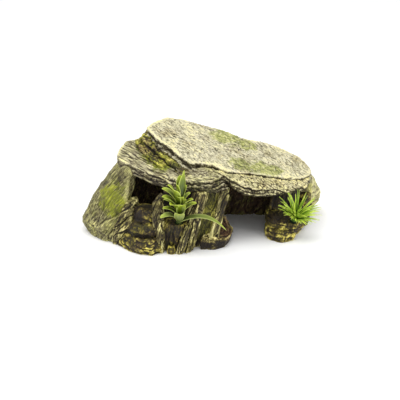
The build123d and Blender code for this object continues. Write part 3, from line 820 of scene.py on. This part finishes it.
# Bearing in degrees (0 along +X, -90 at the front), then reach, rise, arch and width in millimetres, the cup
# as a share of half the width, and the hook in millimetres.
LEAF_WHORLS = [
    [
        (-90, 6, 12, -1, 8, 0.35, 2.4), (-165, 12.5, 4, 3.4, 6.5, 0.25, 1.0),
        (-8, 35, -3.5, 7.5, 6.4, 0.15, 0), (80, 6, 9, 1, 7, 0.3, 0),
    ],
    [
        (-176, 11, 6, 2, 5, 0.35, 0.5), (-130, 8, 14.5, 1.5, 7.5, 0.35, 2.0),
        (2, 10.3, 11.5, 2, 6, 0.35, 0.6), (-78, 5, 14.5, -0.5, 7, 0.35, 2.0),
        (60, 6, 11, 1, 7, 0.3, 0),
    ],
    [
        (168, 10, 8, 2, 6.5, 0.3, 1.4), (-172, 11.3, 12.5, 2, 7, 0.3, 1.2),
        (-18, 7.8, 12, 1.5, 5.6, 0.3, 0.6), (100, 5, 13, 0.5, 7, 0.3, 0),
    ],
    [
        (174, 12, 13, 2, 6.4, 0.3, 0.8), (-163, 8.2, 18.5, 1.5, 7.4, 0.3, 0.6),
        (12, 5.3, 10.5, 1, 5, 0.3, 0.6), (-95, 4, 11, 0.5, 6.5, 0.35, 1.6),
        (-125, 5, 16, -0.3, 6.5, 0.3, 0.8),
    ],
    [
        (-150, 2.2, 14.5, 0.3, 5.8, 0.3, 0.3), (-60, 1.6, 27, 0.5, 6.6, 0.3, 0),
        (110, 2.5, 19, 0.5, 6.5, 0.3, 0), (25, 3.0, 12, 0.5, 5, 0.3, 0),
    ],
]
# Bearing, reach, rise and arch of the first blade of each bunch.
GRASS_WHORLS = [
    [
        (-172, 15, 15, 2), (-148, 12, 14, 2), (-122, 9, 12, 1.5), (-96, 8, 10, 1.5), (-70, 9, 9, 1.5),
        (-45, 12, 9, 2), (-20, 15, 9, 2), (5, 18, 11, 2), (28, 17, 15, 2),
    ],
    [
        (172, 16, 18, 1.5), (-158, 13, 20, 1.5), (-125, 8, 18, 1), (-90, 6, 16, 1), (-55, 9, 15, 1),
        (-20, 13, 16, 1.5), (10, 15, 17, 1.5), (40, 13, 19, 1.5), (140, 13, 19, 1.5),
    ],
    [
        (-150, 7, 23, 0.5), (-90, 3.5, 20, 0.5), (-30, 7, 21, 0.5), (30, 9, 22, 0.5), (75, 7, 22, 0.5),
        (120, 8, 23, 0.5), (165, 11, 22, 0.5),
    ],
]


def plant_frame(seat, stem):
    """A matrix with Z up the stem and X as near to the ornament's +X as it can be."""
    z = stem.normalized()
    y = z.cross(Vector((1, 0, -stem.x))).normalized()
    x = y.cross(z)
    return Matrix.Translation(seat) @ Matrix((x, y, z)).transposed().to_4x4()


def leaf_shell(root, reach, rise, arch, width, cup, hook, rows, columns, outline):
    """A closed cupped leaf that stands out along +X: points, faces and two paint numbers for each point."""
    chord = Vector((reach, 0, rise))
    inside = chord.cross(Vector((0, 1, 0))).normalized()
    start = Vector((root, 0, 0))
    bow = start + chord * 0.5 + inside * arch * 2
    tip = start + chord
    spine = []
    for row in range(rows + 1):
        t = row / rows
        point = start * (1 - t) ** 2 + bow * 2 * t * (1 - t) + tip * t**2
        bent = max(0.0, (t - HOOK_START) / (1 - HOOK_START)) ** 2 * hook
        spine.append(point + Vector((bent, 0, -0.5 * bent)))
    points, paint, faces = [], [], []
    for row in range(rows + 1):
        t = row / rows
        ahead = spine[min(row + 1, rows)] - spine[max(row - 1, 0)]
        normal = ahead.cross(Vector((0, 1, 0))).normalized()
        half = 0.5 * width * outline(t)
        for side in (1, -1):
            for column in range(columns + 1):
                u = 2 * column / columns - 1
                lift = cup * half * u * u + side * 0.5 * BLADE_THICKNESS * (1 - 0.6 * u * u) * (1 - 0.5 * t)
                points.append(spine[row] + Vector((0, u * half, 0)) + normal * lift)
                paint.append((t, abs(u)))
    ring = 2 * (columns + 1)
    loop = list(range(columns + 1)) + list(range(ring - 1, columns, -1))
    for row in range(rows):
        for here, following in zip(loop, loop[1:] + loop[:1]):
            base = row * ring
            faces.append((base + here, base + following, base + ring + following, base + ring + here))
    faces.append(tuple(reversed(loop)))
    faces.append(tuple(rows * ring + index for index in loop))
    return points, faces, paint


def paddle(t):
    """A broad leaf: waisted at its root and rounded at its tip."""
    swell = 0.45 + 0.55 * math.sin(0.5 * math.pi * min(1.0, t / 0.6))
    return max(0.05, swell * math.sqrt(max(0.0, 1 - max(0.0, (t - 0.66) / 0.34) ** 2)))


def lanceolate(t):
    """A slender leaf, widest below its middle and pointed."""
    return max(0.04, math.sin(math.pi * (0.17 + 0.83 * t) ** 0.9))


def tapered(t):
    """A blade that narrows all the way to its tip."""
    return max(0.08, (1 - t**1.6) ** 0.8)


def strap(t):
    """A long leaf: narrow at its root, even in the middle and pointed."""
    return max(0.03, math.sin(math.pi * (0.16 + 0.84 * t) ** 0.75) ** 0.7)


def hub(radius, height):
    """The ring that a whorl's leaves grow from, with its middle at the origin: points and faces."""
    points, faces = [], []
    for ring, (level, share) in enumerate(HUB_PROFILE):
        away = radius * share
        for side in range(HUB_SIDES):
            angle = 2 * math.pi * side / HUB_SIDES
            points.append(Vector((away * math.cos(angle), away * math.sin(angle), (level - 0.5) * height)))
        if ring:
            low, high = (ring - 1) * HUB_SIDES, ring * HUB_SIDES
            for side in range(HUB_SIDES):
                after = (side + 1) % HUB_SIDES
                faces.append((low + side, low + after, high + after, high + side))
    faces.append(tuple(reversed(range(HUB_SIDES))))
    last = (len(HUB_PROFILE) - 1) * HUB_SIDES
    faces.append(tuple(range(last, last + HUB_SIDES)))
    return points, faces


def moulded(name, frame_matrix, height, shells, hub_radius, hub_height, paint, body, node):
    """One moulded ring of leaves as a mesh: each shell is (bearing, points, faces, paint numbers)."""
    points, faces = hub(hub_radius, hub_height)
    numbers = [(0.0, 0.0)] * len(points)
    for bearing, shell_points, shell_faces, shell_numbers in shells:
        turn = Matrix.Rotation(math.radians(bearing), 3, "Z")
        first = len(points)
        points += [turn @ point for point in shell_points]
        faces += [tuple(first + index for index in face) for face in shell_faces]
        numbers += shell_numbers
    middle = frame_matrix @ Matrix.Translation((0, 0, (height + hub_height / 2) * MM))
    mesh = bpy.data.meshes.new(name)
    mesh.from_pydata([middle @ (point * MM) for point in points], [], faces)
    mesh.validate()
    for label, column in (("along", 0), ("aside", 1)):
        attribute = mesh.attributes.new(label, "FLOAT", "POINT")
        attribute.data.foreach_set("value", [row[column] for row in numbers])
    mesh.shade_smooth()
    piece = bpy.data.objects.new(name, mesh)
    bpy.context.scene.collection.objects.link(piece)
    mesh.materials.append(paint)
    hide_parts(node)
    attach(piece, body)


def fading(tree, value, start, end, top):
    """Rises smoothly from nothing where the value is start to top where it is end."""
    made = node_of(tree, "ShaderNodeMapRange", interpolation_type="SMOOTHSTEP")
    made.inputs["From Min"].default_value = start
    made.inputs["From Max"].default_value = end
    made.inputs["To Max"].default_value = top
    tree.links.new(value, made.inputs["Value"])
    return made.outputs["Result"]


def plant_paint(name, blade_stops, rim, rib, roughness, tint_scale=160):
    """Soft moulded plastic: colour along the leaf, a paler rim as painted highlight, a darker rib and a
    slight glow.
    """
    material, tree, shader, place = new_material(name)
    along = mask(tree, "along")
    aside = mask(tree, "aside")
    mottle = noise_texture(tree, place, tint_scale, detail=3, roughness=0.6)
    shift = math_node(tree, "MULTIPLY", math_node(tree, "SUBTRACT", mottle, 0.5), MOTTLE)
    blade = ramp(tree, math_node(tree, "ADD", along, shift, clamp=True), blade_stops)
    # Painted highlight: the rim is paler, as where the raised edges of the leaf catch the light.
    blade = mix_colour(tree, fading(tree, aside, start=0.66, end=1.0, top=0.75), blade, rim)
    blade = mix_colour(tree, fading(tree, aside, start=0.22, end=0.0, top=0.45), blade, rib)
    tree.links.new(blade, shader.inputs["Base Color"])
    shader.inputs["Roughness"].default_value = roughness
    shader.inputs["Subsurface Weight"].default_value = 0.12
    shader.inputs["Subsurface Radius"].default_value = (0.002, 0.003, 0.0008)
    fine = noise_texture(tree, place, FINE_SCALE, detail=3, roughness=0.5)
    bumped(tree, shader, fine, strength=0.25, distance=0.15 * MM)
    return material


leaf_paint = plant_paint(
    "plastic_leaf",
    [
        (0.0, (0.008, 0.016, 0.001)), (0.34, (0.046, 0.070, 0.003)),
        (0.66, (0.150, 0.205, 0.008)), (0.96, (0.400, 0.490, 0.030)),
    ],
    rim=(0.640, 0.740, 0.150), rib=(0.060, 0.110, 0.005), roughness=0.34,
)
pale_leaf_paint = plant_paint(
    "plastic_leaf_pale",
    [
        (0.0, (0.050, 0.075, 0.014)), (0.35, (0.150, 0.190, 0.042)),
        (0.70, (0.250, 0.305, 0.060)), (0.96, (0.460, 0.560, 0.060)),
    ],
    rim=(0.540, 0.600, 0.180), rib=(0.120, 0.160, 0.030), roughness=0.40,
)
grass_paint = plant_paint(
    "plastic_grass",
    [
        (0.0, (0.004, 0.024, 0.008)), (0.16, (0.022, 0.085, 0.010)),
        (0.42, (0.200, 0.360, 0.010)), (0.90, (0.720, 0.850, 0.120)),
    ],
    rim=(0.520, 0.680, 0.070), rib=(0.160, 0.300, 0.008), roughness=0.42, tint_scale=300,
)
stem_paint = plant_paint(
    "plastic_stem",
    [
        (0.0, (0.006, 0.018, 0.006)), (0.5, (0.012, 0.032, 0.010)),
        (0.8, (0.020, 0.045, 0.012)), (1.0, (0.030, 0.060, 0.015)),
    ],
    rim=(0.03, 0.06, 0.02), rib=(0.01, 0.02, 0.01), roughness=0.5,
)

broadleaf_frame = plant_frame(BROADLEAF_SEAT, BROADLEAF_STEM)
grass_frame = plant_frame(GRASS_SEAT, GRASS_STEM)
for number, leaves in enumerate(LEAF_WHORLS):
    shells = []
    for bearing, reach, rise, arch, width, cup, hook in leaves:
        outline = strap if reach > LONG_LEAF else lanceolate if rise > LONG_LEAF else paddle
        rows = LONG_LEAF_ROWS if reach > LONG_LEAF else LEAF_ROWS
        shell = leaf_shell(LEAF_ROOT, reach, rise, arch, width, cup, hook, rows, LEAF_COLUMNS, outline)
        shells.append((bearing, *shell))
    moulded(
        f"broadleaf_whorl_{number + 1}", broadleaf_frame, COLLAR_HEIGHT + number * LEAF_HUB_PITCH, shells,
        LEAF_HUB_RADIUS, LEAF_HUB_HEIGHT, leaf_paint if number else pale_leaf_paint,
        "broadleaf_plant", f"leaf_whorl_{number + 1}",
    )

tuft = np.random.default_rng(5)
for number, blades in enumerate(GRASS_WHORLS):
    shells = []
    for bearing, reach, rise, arch in blades:
        for blade in range(BUNCH):
            stray = min(blade, 1)
            turn = bearing + stray * tuft.uniform(*STRAY_TURN)
            out = reach * (1 - stray * tuft.uniform(*STRAY_REACH))
            up = rise * (1 - stray * tuft.uniform(*STRAY_RISE))
            bow = arch + stray * tuft.uniform(*STRAY_ARCH)
            wide = tuft.uniform(*GRASS_WIDTH)
            points, faces, numbers = leaf_shell(
                GRASS_ROOT, out, up, bow, wide, GRASS_CUP, GRASS_HOOK, GRASS_ROWS, GRASS_COLUMNS, tapered
            )
            light = tuft.uniform(*GRASS_LIGHT)
            numbers = [(min(1.0, along * light), aside) for along, aside in numbers]
            shells.append((turn, points, faces, numbers))
    moulded(
        f"grass_star_{number + 1}", grass_frame, COLLAR_HEIGHT + number * GRASS_HUB_PITCH, shells,
        GRASS_HUB_RADIUS, GRASS_HUB_HEIGHT, grass_paint, "grass_plant", f"grass_whorl_{number + 1}",
    )
for node in ("broadleaf_stem", "grass_plug"):
    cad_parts[node].data.materials.clear()
    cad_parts[node].data.materials.append(stem_paint)

# ---------------------------------------------------------------- floor, light and camera

bpy.ops.mesh.primitive_plane_add(size=8)
floor = bpy.context.object
floor.name = "floor"
floor_material, tree, shader, place = new_material("pale_floor")
shader.inputs["Base Color"].default_value = (0.93, 0.93, 0.93, 1)
shader.inputs["Roughness"].default_value = 0.9
floor.data.materials.append(floor_material)

world = bpy.context.scene.world or bpy.data.worlds.new("studio")
bpy.context.scene.world = world
world.use_nodes = True
background = world.node_tree.nodes["Background"]
background.inputs["Color"].default_value = (1, 1, 1, 1)
background.inputs["Strength"].default_value = 0.9


def softbox(name, position, target, size, power):
    lamp = bpy.data.lights.new(name, "AREA")
    lamp.shape = "RECTANGLE"
    lamp.size, lamp.size_y = size
    lamp.energy = power
    made = bpy.data.objects.new(name, lamp)
    bpy.context.scene.collection.objects.link(made)
    made.location = position
    made.rotation_euler = (Vector(target) - Vector(position)).to_track_quat("-Z", "Y").to_euler()


softbox("key", position=(-0.15, -0.35, 1.2), target=(0, 0, 0.03), size=(1.0, 0.8), power=9)
softbox("fill", position=(0.9, -0.7, 0.7), target=(0, 0, 0.03), size=(0.7, 0.7), power=2)
bpy.context.scene.view_settings.view_transform = "Standard"

camera = bpy.data.objects.new("camera", bpy.data.cameras.new("camera"))
bpy.context.scene.collection.objects.link(camera)
bpy.context.scene.camera = camera
CAMERA_DISTANCE = 0.9
CAMERA_ELEVATION = math.radians(22)
CAMERA_TARGET = Vector((-0.003, 0, 0.0262))
away = Vector((0, -math.cos(CAMERA_ELEVATION), math.sin(CAMERA_ELEVATION)))
camera.location = CAMERA_TARGET + away * CAMERA_DISTANCE
camera.rotation_euler = (-away).to_track_quat("-Z", "Y").to_euler()
camera.data.sensor_width = 36
camera.data.lens = 101.25
camera.data.clip_start = 0.05
camera.data.clip_end = 20
